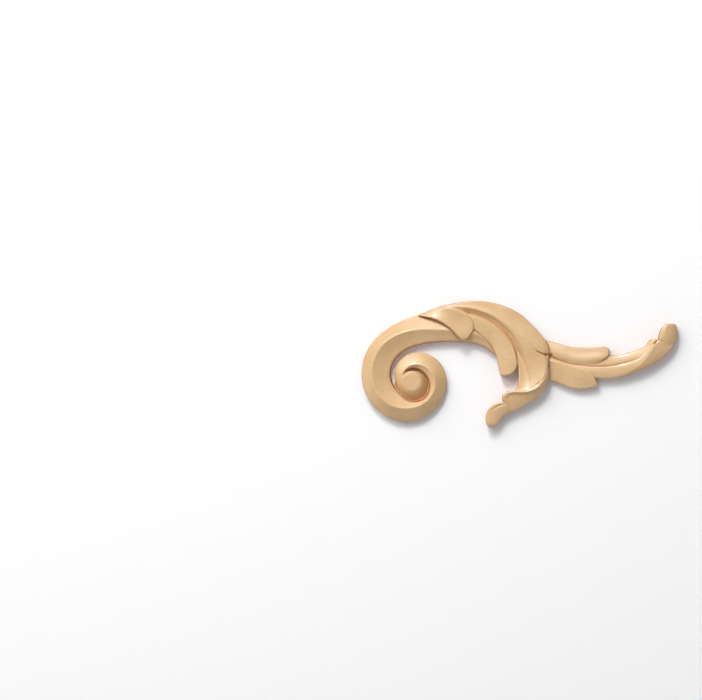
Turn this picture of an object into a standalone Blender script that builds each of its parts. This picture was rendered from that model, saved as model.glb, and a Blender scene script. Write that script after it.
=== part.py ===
"""Carved wooden scroll onlay: a volute with an eye, an acanthus leaf that wraps it, and a long leaf tail.

The onlay is one piece of wood. It stands upright as it does on a panel: +X runs from the volute to the
tail's tip, +Z is up, and the carving faces -Y. Its flat back lies at y = 0.

The carving is drawn on a pattern sheet in squares, x to the right and z up, with each point's height above
the back. A lobe is a loft: each of its sections crosses it from edge to edge, and the surface runs smoothly
from one section to the next.
"""

import math

import bmesh
import bpy
import numpy as np

# Driving sizes, in metres
LENGTH = 0.316  # the volute's left side to the tail's tip
RELIEF = 0.018  # the back to the highest crest
WALL_LEAN = 0.0008  # how far a side wall spreads from its top edge to the back

# The pattern sheet, in squares
SHEET_LENGTH = 316.0
SHEET_RELIEF = 18.0
SQUARE = LENGTH / SHEET_LENGTH
RISE = RELIEF / SHEET_RELIEF
MOUNT_POINT = (168.0, 70.0)  # behind the leaf, where the back is fixed

# The volute is laid out round the middle of its eye, by its radius at every eighth of a turn. The angle is
# counted from +X towards +Z, and the first radius stands at a quarter turn.
VOLUTE_CENTRE = (52.0, 49.0)
EIGHTH = math.pi / 4
FIRST_EIGHTH = 2
OUTER_RADII = (64.2, 55.7, 50.0, 44.3, 40.2, 35.7, 34.8, 32.3, 27.9, 21.9, 16.9, 16.6, 18.0)
RIDGE_RADII = (50.6, 46.3, 39.4, 32.6, 26.2, 23.9, 22.7, 19.4, 15.8, 12.2, 10.0, 9.6, 9.4)
INNER_RADII = (33.4, 26.4, 20.4, 17.6, 19.9, 20.2, 16.4, 13.3, 12.2, 10.6, 7.0, 6.5, 6.5)
OUTER_HEIGHTS = (6.0, 6.4, 7.0, 7.0, 6.6, 6.2, 5.4, 5.6, 6.0, 6.4, 6.2, 5.0, 4.0)
RIDGE_HEIGHTS = (15.0, 15.6, 16.0, 16.0, 15.6, 15.0, 14.4, 13.8, 13.2, 12.8, 12.6, 12.3, 12.0)
INNER_HEIGHTS = (8.0, 8.0, 8.0, 8.5, 9.0, 9.5, 9.5, 9.5, 9.5, 11.2, 12.6, 12.6, 12.4)

# The arm that runs from under the leaf to the volute: outer edge, ridge, inner edge
ARM = (
    ((140, 112, 4), (139, 80, 10.5), (136, 74.5, 7.8)),
    ((122, 122, 4), (124, 92, 12.2), (119, 84.9, 7.8)),
    ((100, 124, 4), (104, 98.4, 13.4), (100.5, 87.7, 7.8)),
    ((78, 121, 4), (80, 100.2, 14.6), (76, 87.3, 8)),
)

# The eye: a boss whose top leans up from the round floor of the groove. Middle x, middle z, radius, height
EYE_RINGS = (
    (52.3, 45.2, 17.6, 0.0),
    (52.3, 45.2, 17.4, 3.0),
    (52.3, 45.4, 15.9, 3.6),
    (52.0, 46.8, 13.2, 7.8),
    (51.7, 48.3, 10.8, 11.6),
    (51.5, 49.0, 8.8, 13.2),
)

# The great leaf: outline, midrib, shoulder over the valley, valley, side, which is the blade's left edge too
LEAF = (
    ((66, 118.2, 8.6), (68, 117.6, 9.8), (69.2, 117.1, 10), (71, 116.4, 10), (74, 111, 8.5)),
    ((80, 123.6, 10), (82, 121.8, 13.4), (83.4, 120.7, 13), (85, 118.9, 12), (88, 113, 10)),
    ((97, 127.3, 10), (98.5, 123.9, 15.8), (99.4, 122, 15.3), (101, 118.4, 12), (100, 113, 10.5)),
    ((118, 128.9, 9.6), (118, 120.8, 17.1), (118, 119.2, 16.6), (117.2, 115.2, 11.8), (115, 107, 11)),
    ((140, 125.4, 9.4), (137, 112.4, 17.9), (136.1, 111.2, 17.2), (133, 107, 11.6), (128, 97, 11)),
    ((161, 115, 9.4), (154, 99.6, 18), (150.6, 98.8, 17), (145.9, 95.6, 10.8), (140, 85, 11)),
    ((177, 99.5, 10), (169, 87.4, 17.2), (160.8, 85.4, 16), (155.6, 83.4, 10.4), (150.4, 75, 11.2)),
    ((188, 83, 12), (179.5, 75, 16.3), (168, 73.2, 15.2), (162.4, 71.8, 10.8), (157, 68, 12.2)),
    ((188.3, 70, 13.4), (182.5, 64, 15.9), (170.6, 61.8, 14.4), (166.4, 60.6, 11.6), (158.4, 59, 13.4)),
    ((187.2, 59, 14.8), (181.5, 54, 15.9), (172, 51, 14.7), (169, 50, 13), (158, 47.5, 14.4)),
    ((184.3, 51.3, 15.8), (177, 44, 16.3), (170.6, 41.3, 16.2), (168.5, 40.2, 15.8), (154.6, 38.2, 15.6)),
)

# The inner lobe: foot in the valley, ridge, shoulder, middle, left edge
INNER_LOBE = (
    ((103, 118, 11), (104.5, 116.3, 14.4), (104.8, 114.6, 14.3), (105.2, 112, 13.6), (106, 109, 12)),
    ((119.5, 114, 11.6), (119, 111.8, 16), (117.8, 108.6, 15.6), (116, 104.6, 14.8), (114, 100.5, 13.6)),
    ((134.5, 106.4, 11.6), (133, 104.2, 16.3), (129.6, 101, 15.4), (125.6, 97.4, 14.6), (121.5, 94.3, 13.4)),
    ((147, 94.8, 10.8), (145, 93.1, 15.8), (140.6, 89.8, 14.9), (135.6, 87.2, 14.1), (130.3, 85.3, 13)),
    ((154, 83.5, 10.4), (152.3, 83, 15.2), (147.4, 79.2, 14.4), (141.6, 76.2, 13.5), (135.8, 74.5, 12.6)),
    ((157, 72, 10.8), (155.8, 72, 14.8), (151, 67.8, 14), (144.8, 65.2, 13.2), (138.4, 64.5, 12.4)),
    ((157.4, 64.4, 12), (156.6, 64, 14), (154.2, 58.8, 13.4), (148.6, 55, 13), (140.4, 54.3, 12.2)),
)

# The front lobe, which rides over the arm: foot behind the crest, crest, flute, front edge
FRONT_LOBE = (
    ((61, 116.2, 8), (60, 115.6, 9.2), (59, 115, 9.8), (58, 114.3, 9.8)),
    ((73.5, 121, 9.6), (74, 119.8, 12.2), (72, 116.6, 13.4), (69.5, 112.2, 14.8)),
    ((87, 124.2, 11.8), (87.5, 121.8, 16), (84, 115.6, 15.4), (80, 108.3, 16.5)),
    ((101.5, 120.6, 12.6), (100.5, 118.2, 17.2), (95, 109.8, 15.2), (90, 101.6, 17)),
    ((111.8, 113.4, 12), (109.6, 111.4, 16.6), (102.5, 101.6, 15.2), (97.6, 93.8, 16.7)),
    ((115, 104, 11), (113.2, 104.4, 15.6), (106.2, 95.4, 15.2), (101.2, 90.3, 16)),
    ((112.8, 96, 10.5), (111.2, 97, 14.8), (107.6, 91.8, 14.6), (103.4, 89.6, 14.6)),
)

# The blade's turned-over edge: foot inside the lip, lip, hollow under it, underside, outline
TURNOVER = (
    ((185.5, 66.5, 13.4), (187.3, 66, 13.6), (187.8, 65, 13), (188.3, 63.5, 11.5), (188.8, 62, 10)),
    ((184, 58.8, 14.7), (186.6, 58, 15.1), (187.6, 57, 13.6), (188.4, 55.5, 11.8), (189.2, 54, 10)),
    ((180.6, 52.4, 15.6), (183.6, 49.9, 16.3), (184.9, 48.2, 13.8), (185.4, 47.2, 12), (186.6, 45.5, 10)),
    ((174, 45.8, 15.6), (176.1, 42.2, 16.9), (177.1, 40.4, 14.2), (178.4, 38.2, 12.2), (180.6, 35.6, 10)),
    ((164.4, 42, 15.4), (165.2, 38.2, 17), (166, 36, 14.2), (168, 32.4, 12.2), (170.8, 28.4, 9.8)),
    ((154.2, 39.6, 14.6), (154, 38, 16.4), (154.4, 35.4, 14), (156, 29, 12.2), (158.2, 21.4, 9.4)),
    ((146.2, 38, 12.8), (147, 36.6, 15.2), (148, 34, 13.8), (149, 27.4, 12.2), (150.4, 18.2, 9.4)),
    ((141.9, 33.8, 12.6), (143.4, 33, 14.8), (145.6, 31.2, 13.6), (147.2, 25.8, 12.2), (147.6, 17.2, 9.4)),
    ((143.1, 27.8, 12), (144.2, 27.8, 13.8), (145.6, 27, 13.2), (146.4, 23.4, 12), (146.2, 17.6, 9.4)),
)

# The turned-over tip below it: rim, hollow, middle, outline
BLADE_TIP = (
    ((153, 25.6, 8), (153, 24.4, 8), (153, 22, 7.6), (153, 19.6, 6)),
    ((145.6, 27, 13.2), (146, 25, 12.8), (147, 21.4, 12), (149, 17.4, 9.4)),
    ((139, 27.7, 14.4), (140, 25.2, 13.8), (141.6, 20.6, 12.4), (144, 14.6, 9.6)),
    ((132.4, 25.2, 14.6), (134.2, 22.8, 13.8), (137, 18.2, 12.8), (141.2, 12.2, 10)),
    ((127.6, 19.4, 14), (130, 17.8, 13.6), (133.8, 14.4, 12.8), (139.4, 9.4, 10.2)),
    ((125.5, 12, 13.4), (127.8, 11.4, 13.2), (132, 9.2, 12.6), (137.8, 6.6, 10.4)),
    ((126.8, 5.6, 12.8), (128.6, 5.6, 12.8), (131.4, 5, 12.2), (135.2, 4.6, 10.6)),
    ((128.6, 3.6, 12), (129.7, 3.5, 12), (131.1, 3.4, 11.6), (132.8, 3.6, 11)),
)

# The tail's blade: top edge, vein, shoulder, lower edge, which ends along the turned-over crease
TAIL = (
    ((184, 80, 5.5), (186, 74, 6.0), (188, 66, 7.0), (188, 58, 5.6)),
    ((206, 78, 7.6), (204, 68.2, 9.0), (206, 62, 9.8), (208, 54.5, 8.2)),
    ((228, 76, 8.2), (224, 65.1, 9.6), (226, 58.6, 10.4), (228, 52.6, 8.8)),
    ((247, 74, 8.4), (246, 64.3, 9.8), (246, 57, 10.4), (246, 51.3, 8.9)),
    ((263.5, 76, 8.8), (262, 66, 10.4), (261, 58.4, 10.9), (260, 53, 9.4)),
    ((278, 81, 10.0), (276.6, 71, 11.7), (274.2, 63.6, 12.2), (272.4, 59.4, 11.6)),
    ((287, 86.4, 11.6), (285, 77, 13.0), (283, 71, 13.3), (281.8, 66.8, 13.3)),
    ((291.8, 91.4, 13.0), (291, 84, 13.8), (290.5, 79, 14.2), (290.3, 76.4, 14.2)),
    ((295.4, 90.8, 13.5), (295, 87, 13.9), (294.7, 84.8, 14.2), (294.6, 83.4, 14.2)),
)

# The tail's turned-over side: foot inside the crease, crease, shoulder, side, outline
TAIL_TURNOVER = (
    ((253, 52.6, 6.2), (254, 52.3, 6.6), (254.6, 52.2, 6.4), (255.2, 52.1, 6.2), (255.8, 52, 6.0)),
    ((262.2, 55.2, 8.4), (263.6, 54.6, 9.0), (264.4, 54.4, 8.8), (265.2, 54.2, 8.4), (266, 54.1, 7.8)),
    ((271.4, 62.2, 10.8), (273, 60.6, 11.5), (274, 60, 11.3), (275.2, 59.4, 10.8), (276.4, 58.6, 9.6)),
    ((278.2, 67.8, 12.5), (280, 66, 13.0), (281.8, 65.2, 12.5), (284.6, 64.2, 11.4), (287.4, 63.2, 9.8)),
    ((284, 73.6, 13.2), (286, 72, 13.8), (288.6, 71.2, 13.0), (293, 70.2, 11.6), (298, 69.2, 9.6)),
    ((289, 81.2, 13.8), (291, 80, 14.3), (294, 79, 13.4), (299.4, 77.2, 11.9), (306, 75.8, 9.6)),
    ((292.2, 86.8, 13.7), (294.2, 85.6, 14.4), (297.2, 85, 13.6), (302.6, 83, 12.2), (311, 81.6, 9.6)),
    ((295, 91.4, 12.6), (296.7, 90, 14.0), (299.6, 89.2, 13.4), (304.6, 88, 12.4), (314, 87.2, 9.8)),
)

# The curled tip: rim, ridge, middle, outline
TAIL_TIP = (
    ((297, 87, 10.4), (301, 84.6, 10.6), (305.4, 81.6, 9.8), (309.6, 80.4, 7.6)),
    ((297.8, 92.4, 13.4), (303, 91, 14.4), (308, 89, 12.9), (314.8, 88.6, 9.4)),
    ((299.2, 97.6, 14.2), (303.8, 96.6, 15.4), (309, 95, 13.8), (316.3, 94.6, 9.8)),
    ((301.6, 102.4, 14.2), (304.8, 101.4, 15.4), (310, 100, 13.8), (316.5, 100.6, 10)),
    ((304.2, 105.2, 13.8), (306.6, 104.6, 14.8), (310.8, 103.8, 13.6), (315.9, 104.1, 10.6)),
    ((306.8, 106, 13), (308.6, 106.2, 13.4), (311.8, 106.2, 12.8), (314.9, 105.6, 11.4)),
)

# The tail's upper lobe: outline, crown, shoulder, foot in the vein
UPPER_LOBE = (
    ((183, 90.6, 6.4), (184, 83, 7.4), (186, 76.5, 7.4), (187, 73, 6.0)),
    ((197, 86.8, 7.6), (198, 80, 9.2), (199.5, 73.2, 9.7), (200, 70.2, 8.6)),
    ((213, 83, 8.2), (214, 77, 9.8), (214, 70.4, 10.5), (214, 66.6, 9.2)),
    ((229, 82.5, 8.6), (229.5, 76.4, 10.2), (229, 69.8, 11.0), (228, 65.8, 9.6)),
    ((239, 83, 8.8), (239.5, 77, 10.4), (238, 70.4, 11.2), (236.5, 66.8, 9.9)),
    ((245.6, 83, 9.0), (246, 77.5, 10.4), (243.5, 71.2, 11.0), (241.5, 69.2, 10.0)),
    ((248.7, 81.2, 9.2), (249, 78, 10.2), (248.2, 74.6, 10.4), (246.8, 73.2, 9.8)),
)

# The tail's lower lobe: foot above the ridge, ridge, middle, outline
LOWER_LOBE = (
    ((186, 73, 5.2), (186, 71.6, 7.6), (186, 62, 7.4), (187, 51, 5.4)),
    ((198, 69.8, 8.2), (199, 67.8, 10.4), (199, 58.6, 9.6), (199.5, 46.6, 7.2)),
    ((211, 65.8, 9.2), (211, 64, 11.4), (211.5, 54, 10.2), (212, 41.8, 7.6)),
    ((223.5, 61.4, 9.6), (222.5, 60.2, 11.9), (223.5, 51, 10.4), (224, 41.2, 7.8)),
    ((232, 57.2, 9.4), (230.6, 56.2, 11.6), (231.6, 49.8, 10.4), (233.5, 43.2, 8.2)),
    ((235, 54, 8.6), (233.8, 53.6, 10.8), (235.4, 49.2, 10.2), (238.2, 45, 8.6)),
)

# The dark cut where the leaf, the blade and the tail part: x, z, half width on each side
EYE_CUT = ((174.5, 80.2, 0.3), (181.0, 76.6, 0.9), (187.5, 74.4, 1.8), (193.5, 72.6, 1.2))
EYE_CUT_FLOOR = 6.5
CUTTER_SPARE = 1.0  # how far a cutter stands out of the wood

# How the surface between two neighbouring lines of a loft is cut, and how far its middle swells
ARM_PANELS = ((3, 0.6), (3, -0.4))
LEAF_PANELS = ((4, 1.2), (1, 0.0), (2, 0.0), (3, -0.4))
INNER_PANELS = ((1, 0.0), (1, 0.1), (1, 0.1), (2, 0.1))
FLUTE_PANELS = ((1, 0.0), (3, -0.3), (3, -0.2))
TURNED_PANELS = ((1, 0.0), (1, 0.0), (2, -0.3), (2, 0.3))
TIP_PANELS = ((1, 0.0), (2, -0.3), (2, 0.3))
TAIL_PANELS = ((3, 0.5), (2, -0.1), (2, 0.5))
UPPER_PANELS = ((2, 0.1), (2, 0.1), (1, 0.0))
LOWER_PANELS = ((1, 0.0), (2, 0.1), (3, 0.3))

STEPS_PER_SECTION = 4
STEPS_PER_EIGHTH = 5
EYE_SIDES = 40
FIRST_FOOT = 2.0  # how far the lofts reach behind the back before it is cut flat
FOOT_STEP = 0.15  # each loft reaches a little further than the last, so that no two feet coincide
WELD = 0.00002

WOOD_COLOUR = (0.745, 0.491, 0.254, 1.0)
WOOD_ROUGHNESS = 0.45


def clear_scene():
    """Empties the scene that Blender opens with."""
    for item in list(bpy.data.objects):
        bpy.data.objects.remove(item)


def placed(x, z, height):
    """A pattern point's place in the world."""
    return ((x - MOUNT_POINT[0]) * SQUARE, -height * RISE, (z - MOUNT_POINT[1]) * SQUARE)


def smooth_line(points, steps):
    """A natural cubic spline through the points, with the given steps between each two."""
    knots = np.array(points, dtype=float)
    chords = np.linalg.norm(np.diff(knots, axis=0), axis=1)
    count = len(knots)
    system = np.eye(count)
    right = np.zeros_like(knots)
    for i in range(1, count - 1):
        before, after = chords[i - 1], chords[i]
        system[i, i - 1 : i + 2] = before, 2 * (before + after), after
        right[i] = 6 * ((knots[i + 1] - knots[i]) / after - (knots[i] - knots[i - 1]) / before)
    bends = np.linalg.solve(system, right)
    line = []
    for i in range(count - 1):
        span = chords[i]
        for step in range(steps):
            far = span * step / steps
            near = span - far
            line.append(
                (bends[i] * near**3 + bends[i + 1] * far**3) / (6 * span)
                + (knots[i] / span - bends[i] * span / 6) * near
                + (knots[i + 1] / span - bends[i + 1] * span / 6) * far
            )
    line.append(knots[-1])
    return line


def outward(loop):
    """The unit normals of a closed plan outline, pointing out of it."""
    plan = np.array([(point[0], point[1]) for point in loop])
    along = np.roll(plan, -1, axis=0) - np.roll(plan, 1, axis=0)
    normals = np.stack([along[:, 1], -along[:, 0]], axis=1)
    lengths = np.maximum(np.linalg.norm(normals, axis=1, keepdims=True), 1e-9)
    area = np.sum(plan[:, 0] * np.roll(plan[:, 1], -1) - np.roll(plan[:, 0], -1) * plan[:, 1])
    return normals / lengths * (1 if area > 0 else -1)


def loft_rows(sections, panels, steps):
    """The rows of surface points of a loft, one row for each step along it."""
    rails = [smooth_line([section[i] for section in sections], steps) for i in range(len(sections[0]))]
    rows = []
    for at in range(len(rails[0])):
        row = []
        for i, (cuts, swell) in enumerate(panels):
            start, end = rails[i][at], rails[i + 1][at]
            for cut in range(cuts):
                share = cut / cuts
                point = start + (end - start) * share
                point[2] += swell * 4 * share * (1 - share)
                row.append(point)
        row.append(rails[-1][at])
        rows.append(row)
    return rows


def body_from_rows(name, rows, foot):
    """A closed body under a grid of surface points, with leaning walls that reach behind the back."""
    shape = bmesh.new()
    grid = [[shape.verts.new(placed(*point)) for point in row] for row in rows]
    last = len(rows[0]) - 1
    for near, far in zip(grid, grid[1:]):
        for i in range(last):
            shape.faces.new((near[i], far[i], far[i + 1], near[i + 1]))
    edge = [(i, 0) for i in range(len(rows))]
    edge += [(len(rows) - 1, i) for i in range(1, last + 1)]
    edge += [(i, last) for i in range(len(rows) - 2, -1, -1)]
    edge += [(0, i) for i in range(last - 1, 0, -1)]
    loop = [rows[i][j] for i, j in edge]
    lean = WALL_LEAN / SQUARE
    feet = [
        shape.verts.new(placed(point[0] + way[0] * lean, point[1] + way[1] * lean, -foot))
        for point, way in zip(loop, outward(loop))
    ]
    tops = [grid[i][j] for i, j in edge]
    for i in range(len(tops)):
        after = (i + 1) % len(tops)
        shape.faces.new((tops[i], tops[after], feet[after], feet[i]))
    shape.faces.new(feet)
    bmesh.ops.recalc_face_normals(shape, faces=shape.faces)
    return object_from(name, shape)


def object_from(name, shape):
    """An object that holds the given shape."""
    mesh = bpy.data.meshes.new(name)
    shape.to_mesh(mesh)
    shape.free()
    item = bpy.data.objects.new(name, mesh)
    bpy.context.scene.collection.objects.link(item)
    return item


def volute_sections():
    """The arm's sections and then the volute's, one for each eighth of a turn."""
    sections = list(ARM)
    for i in range(len(OUTER_RADII)):
        angle = (FIRST_EIGHTH + i) * EIGHTH
        sections.append(
            tuple(
                (
                    VOLUTE_CENTRE[0] + radii[i] * math.cos(angle),
                    VOLUTE_CENTRE[1] + radii[i] * math.sin(angle),
                    heights[i],
                )
                for radii, heights in (
                    (OUTER_RADII, OUTER_HEIGHTS),
                    (RIDGE_RADII, RIDGE_HEIGHTS),
                    (INNER_RADII, INNER_HEIGHTS),
                )
            )
        )
    return sections


def eye_body(foot):
    """The eye's boss: rings of points that rise from the groove's floor to a flat top."""
    shape = bmesh.new()
    rings = []
    for x, z, radius, height in EYE_RINGS:
        ring = []
        for side in range(EYE_SIDES):
            angle = 2 * math.pi * side / EYE_SIDES
            level = height if height > 0 else -foot
            ring.append(
                shape.verts.new(placed(x + radius * math.cos(angle), z + radius * math.sin(angle), level))
            )
        rings.append(ring)
    for low, high in zip(rings, rings[1:]):
        for i in range(EYE_SIDES):
            after = (i + 1) % EYE_SIDES
            shape.faces.new((low[i], low[after], high[after], high[i]))
    shape.faces.new(rings[0])
    shape.faces.new(rings[-1])
    bmesh.ops.recalc_face_normals(shape, faces=shape.faces)
    return object_from("eye", shape)


def eye_cut():
    """The cutter of the dark cut: a wedge that follows its line, wide above and sharp below."""
    line = smooth_line(EYE_CUT, STEPS_PER_SECTION)
    shape = bmesh.new()
    sections = []
    for i, point in enumerate(line):
        before, after = line[max(i - 1, 0)], line[min(i + 1, len(line) - 1)]
        along = np.array((after[0] - before[0], after[1] - before[1]))
        across = np.array((-along[1], along[0])) / np.linalg.norm(along)
        left = point[:2] + across * point[2]
        right = point[:2] - across * point[2]
        top = SHEET_RELIEF + CUTTER_SPARE
        sections.append(
            [
                shape.verts.new(placed(*left, top)),
                shape.verts.new(placed(*right, top)),
                shape.verts.new(placed(point[0], point[1], EYE_CUT_FLOOR)),
            ]
        )
    for near, far in zip(sections, sections[1:]):
        for i in range(3):
            after = (i + 1) % 3
            shape.faces.new((near[i], far[i], far[after], near[after]))
    shape.faces.new(sections[0])
    shape.faces.new(sections[-1])
    bmesh.ops.recalc_face_normals(shape, faces=shape.faces)
    return object_from("eye_cut", shape)


def back_cut():
    """The cutter that saws the back flat: a slab behind y = 0."""
    shape = bmesh.new()
    bmesh.ops.create_cube(shape, size=1.0)
    depth = RELIEF
    for vert in shape.verts:
        vert.co.x *= 2 * LENGTH
        vert.co.y = vert.co.y * depth + depth / 2
        vert.co.z *= LENGTH
    return object_from("back_cut", shape)


def combine(target, others, operation):
    """Applies the operation of each other object to the target and removes it."""
    for other in others:
        modifier = target.modifiers.new(other.name, "BOOLEAN")
        modifier.operation = operation
        modifier.solver = "EXACT"
        modifier.use_self = True
        modifier.object = other
    graph = bpy.context.evaluated_depsgraph_get()
    mesh = bpy.data.meshes.new_from_object(target.evaluated_get(graph))
    target.modifiers.clear()
    target.data = mesh
    for other in others:
        bpy.data.objects.remove(other)


def tidy(item):
    """Welds points closer than the tools could carve and clears the specks that leaves."""
    shape = bmesh.new()
    shape.from_mesh(item.data)
    bmesh.ops.remove_doubles(shape, verts=shape.verts, dist=WELD)
    bmesh.ops.dissolve_degenerate(shape, edges=shape.edges, dist=WELD)
    bmesh.ops.recalc_face_normals(shape, faces=shape.faces)
    shape.to_mesh(item.data)
    shape.free()


def wood():
    """Pale hardwood, sanded and left unfinished."""
    material = bpy.data.materials.new("pale_hardwood")
    material.use_nodes = True
    shader = material.node_tree.nodes["Principled BSDF"]
    shader.inputs["Base Color"].default_value = WOOD_COLOUR
    shader.inputs["Roughness"].default_value = WOOD_ROUGHNESS
    shader.inputs["Metallic"].default_value = 0.0
    return material


def build():
    """Carves the onlay."""
    clear_scene()
    lofts = (
        ("volute", volute_sections(), ARM_PANELS, STEPS_PER_EIGHTH),
        ("leaf", LEAF, LEAF_PANELS, STEPS_PER_SECTION),
        ("inner_lobe", INNER_LOBE, INNER_PANELS, STEPS_PER_SECTION),
        ("front_lobe", FRONT_LOBE, FLUTE_PANELS, STEPS_PER_SECTION),
        ("turnover", TURNOVER, TURNED_PANELS, STEPS_PER_SECTION),
        ("blade_tip", BLADE_TIP, TIP_PANELS, STEPS_PER_SECTION),
        ("tail", TAIL, TAIL_PANELS, STEPS_PER_SECTION),
        ("tail_turnover", TAIL_TURNOVER, TURNED_PANELS, STEPS_PER_SECTION),
        ("tail_tip", TAIL_TIP, TIP_PANELS, STEPS_PER_SECTION),
        ("upper_lobe", UPPER_LOBE, UPPER_PANELS, STEPS_PER_SECTION),
        ("lower_lobe", LOWER_LOBE, LOWER_PANELS, STEPS_PER_SECTION),
    )
    bodies = []
    for i, (name, sections, panels, steps) in enumerate(lofts):
        rows = loft_rows(sections, panels, steps)
        bodies.append(body_from_rows(name, rows, FIRST_FOOT + i * FOOT_STEP))
    bodies.append(eye_body(FIRST_FOOT + len(lofts) * FOOT_STEP))
    onlay = bodies[0]
    combine(onlay, bodies[1:], "UNION")
    combine(onlay, [back_cut(), eye_cut()], "DIFFERENCE")
    tidy(onlay)
    onlay.name = "scroll_onlay"
    onlay.data.name = "scroll_onlay"
    onlay.data.materials.clear()
    onlay.data.materials.append(wood())
    return onlay


build()
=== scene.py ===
"""Scroll onlay carved in pale hardwood: its fine carving, its finish and the studio it is shown in.

The onlay is one piece of wood. Each part of it, such as the volute or the great leaf, is a class that draws
its own sections on the pattern sheet: squares to the right and up, and heights above the flat back. The
forms are joined and melted into one skin, then the tool lines are cut into that skin and the back is sawn
flat.
"""

import logging
import math
from dataclasses import dataclass, field
from enum import Enum

import bpy
import numpy as np
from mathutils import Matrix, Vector


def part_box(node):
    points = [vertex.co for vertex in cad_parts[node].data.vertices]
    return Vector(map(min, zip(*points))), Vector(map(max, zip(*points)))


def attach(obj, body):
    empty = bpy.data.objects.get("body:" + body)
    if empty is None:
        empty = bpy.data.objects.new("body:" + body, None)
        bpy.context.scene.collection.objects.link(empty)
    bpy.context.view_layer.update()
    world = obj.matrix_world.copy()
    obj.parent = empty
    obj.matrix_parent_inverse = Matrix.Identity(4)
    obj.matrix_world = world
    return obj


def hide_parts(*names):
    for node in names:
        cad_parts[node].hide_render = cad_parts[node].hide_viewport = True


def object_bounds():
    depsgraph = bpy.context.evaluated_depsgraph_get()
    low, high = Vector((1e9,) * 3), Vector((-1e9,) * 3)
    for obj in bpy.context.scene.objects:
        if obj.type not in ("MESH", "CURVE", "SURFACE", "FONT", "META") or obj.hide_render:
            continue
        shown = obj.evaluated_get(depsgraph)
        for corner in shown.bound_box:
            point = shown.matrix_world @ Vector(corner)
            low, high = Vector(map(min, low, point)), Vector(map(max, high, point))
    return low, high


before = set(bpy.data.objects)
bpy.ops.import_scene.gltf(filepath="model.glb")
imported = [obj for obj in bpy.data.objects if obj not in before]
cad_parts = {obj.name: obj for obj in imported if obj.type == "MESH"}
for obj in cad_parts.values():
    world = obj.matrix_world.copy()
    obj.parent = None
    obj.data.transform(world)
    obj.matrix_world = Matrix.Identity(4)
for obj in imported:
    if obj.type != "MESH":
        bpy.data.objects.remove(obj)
CAD_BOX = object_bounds()

log = logging.getLogger("scroll_onlay")

Point = tuple[float, float, float]
PlanPoint = tuple[float, float]
Section = tuple[Point, ...]
Lengths = tuple[float, ...]

NODE = "scroll_onlay"
MILLIMETRE = 0.001

# Straight steps that stand for each stretch of a tool line
ROUTE_STEPS = 8
# The shortest fade that a tool line can have, as a share of its length
LEAST_FADE = 1e-6
# Decimals that tell one row of a new unit grid from the next
GRID_DECIMALS = 6


def linear(colour: str) -> tuple[float, float, float, float]:
    """Turns an sRGB hex colour into linear light.

    Args:
        colour: The colour as #RRGGBB.

    Returns:
        The linear red, green and blue, and an alpha of one.
    """
    parts = [int(colour[i : i + 2], 16) / 255 for i in (1, 3, 5)]
    red, green, blue = (c / 12.92 if c <= 0.04045 else ((c + 0.055) / 1.055) ** 2.4 for c in parts)
    return (red, green, blue, 1.0)


def deselect_all() -> None:
    """Leaves object mode with nothing selected."""
    if bpy.context.object is not None and bpy.context.object.mode != "OBJECT":
        bpy.ops.object.mode_set(mode="OBJECT")
    bpy.ops.object.select_all(action="DESELECT")


def smooth_line(points: list, steps: list[int], values: np.ndarray | None = None) -> np.ndarray:
    """Runs a natural cubic spline through points.

    Args:
        points: The points that the line passes through, which also space it.
        steps: How many steps each stretch between two points takes.
        values: What runs along the line in place of the points, one row for each point.

    Returns:
        The line's points or values, one row each.
    """
    knots = np.array(points, dtype=float)
    chords = np.linalg.norm(np.diff(knots, axis=0), axis=1)
    if values is not None:
        knots = np.array(values, dtype=float)
    count = len(knots)
    system = np.eye(count)
    right = np.zeros_like(knots)
    for i in range(1, count - 1):
        before, after = chords[i - 1], chords[i]
        system[i, i - 1 : i + 2] = before, 2 * (before + after), after
        right[i] = 6 * ((knots[i + 1] - knots[i]) / after - (knots[i] - knots[i - 1]) / before)
    bends = np.linalg.solve(system, right)
    line = []
    for i in range(count - 1):
        span = chords[i]
        far = (span * np.arange(steps[i]) / steps[i])[:, None]
        near = span - far
        line.append(
            (bends[i] * near**3 + bends[i + 1] * far**3) / (6 * span)
            + (knots[i] / span - bends[i] * span / 6) * near
            + (knots[i + 1] / span - bends[i + 1] * span / 6) * far
        )
    line.append(knots[-1:])
    return np.concatenate(line)


@dataclass(frozen=True)
class Pattern:
    """The pattern sheet and how it lies on the construction solid.

    The mount point lies at the frame's origin, and the sheet's squares and rise come from the solid's box.
    """

    squares_long: float = 316.2
    squares_deep: float = 18.06
    mount_x: float = 168.0
    mount_z: float = 70.0

    def square(self) -> float:
        """One square of the sheet in metres."""
        low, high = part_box(NODE)
        return (high.x - low.x) / self.squares_long

    def rise(self) -> float:
        """One unit of height in metres."""
        low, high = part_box(NODE)
        return (high.y - low.y) / self.squares_deep

    def placed(self, points: np.ndarray) -> np.ndarray:
        """Turns sheet points into places in the frame.

        Args:
            points: Rows of x, z and height in squares.

        Returns:
            Rows of x, y and z in metres.
        """
        x = (points[:, 0] - self.mount_x) * self.square()
        y = -points[:, 2] * self.rise()
        z = (points[:, 1] - self.mount_z) * self.square()
        return np.stack([x, y, z], axis=1)


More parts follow.
